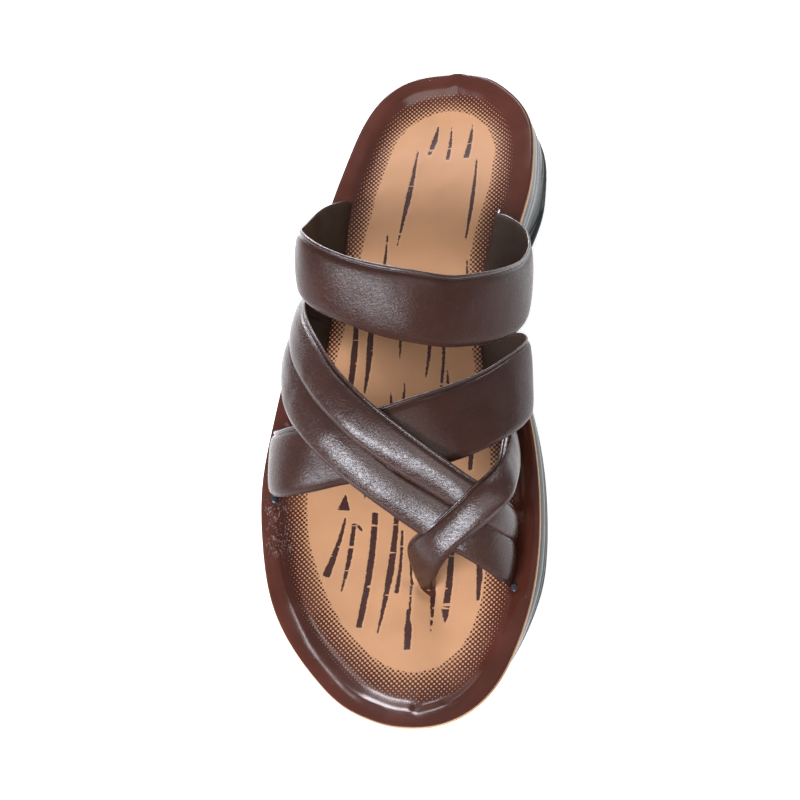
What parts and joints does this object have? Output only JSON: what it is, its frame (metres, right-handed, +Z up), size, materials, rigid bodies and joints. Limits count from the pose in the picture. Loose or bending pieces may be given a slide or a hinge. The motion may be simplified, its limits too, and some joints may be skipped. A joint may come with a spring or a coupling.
{
  "type": "sport sandal",
  "caption": "Open-toe sandal for the right foot: moulded sole with arch and toe spring, dished footbed, instep band, and crossed forefoot straps with a toe loop.",
  "frame": {"origin": "on the ground under the middle of the shoe's box", "axes": "+Z up, +Y towards the heel, -Y towards the toe, +X towards the inner side of the right foot"},
  "size_m": [0.1106, 0.2778, 0.0869],
  "materials": {
    "footbed_cover": "satin synthetic leather, tan with a dark brown rim and a printed dot fade",
    "insole_board": "matte light tan cut edge",
    "sole": "glossy black moulded polyurethane",
    "tread": "satin black moulded polyurethane",
    "strap_leather": "glossy dark brown, fine wrinkled grain"
  },
  "bodies": {
    "root": {"footbed_cover": "footbed_cover", "insole_board": "insole_board", "midsole": "sole", "tread_heel": "tread", "tread_forefoot": "tread", "instep_strap": "strap_leather", "vamp_straps": "strap_leather"}
  },
  "joints": []
}
